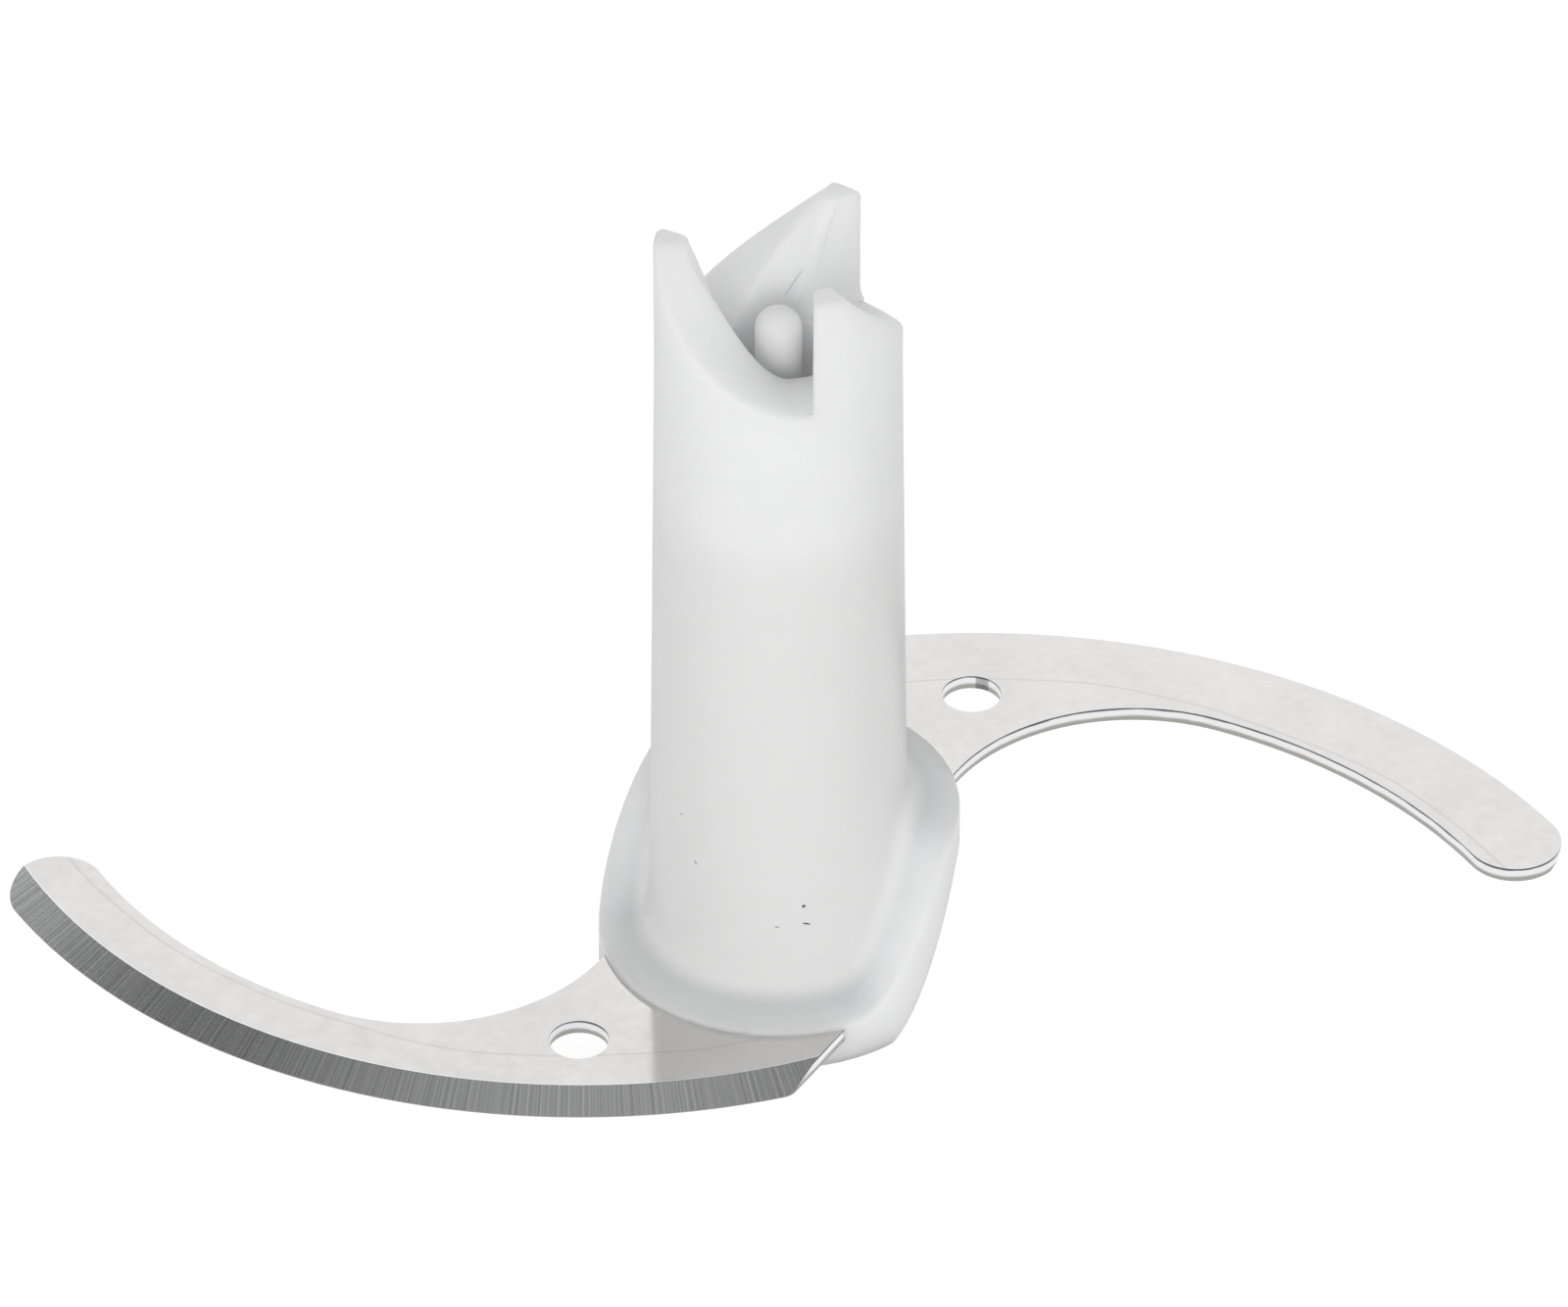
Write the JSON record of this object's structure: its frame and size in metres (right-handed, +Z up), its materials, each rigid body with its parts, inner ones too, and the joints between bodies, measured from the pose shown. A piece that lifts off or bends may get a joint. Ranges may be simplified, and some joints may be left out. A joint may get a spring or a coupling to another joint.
{
  "type": "food processor blade",
  "caption": "Sickle chopping blade for a small food processor bowl: tall translucent hub with a saw-tooth drive clutch, a helical collar and a low and a high bevel-ground steel blade.",
  "frame": {"origin": "on the hub's axis, in the plane of the hub's foot", "axes": "+Z up along the hub's axis towards the drive clutch, -X towards the low blade, -Y to the side that the low blade's cutting edge leads on"},
  "size_m": [0.1547, 0.0579, 0.087],
  "materials": {
    "hub_plastic": "satin, milky translucent",
    "blade_steel": "polished sheet with a ground bevel"
  },
  "bodies": {
    "root": {"hub": "hub_plastic", "blade_low": "blade_steel", "blade_high": "blade_steel"}
  },
  "joints": []
}
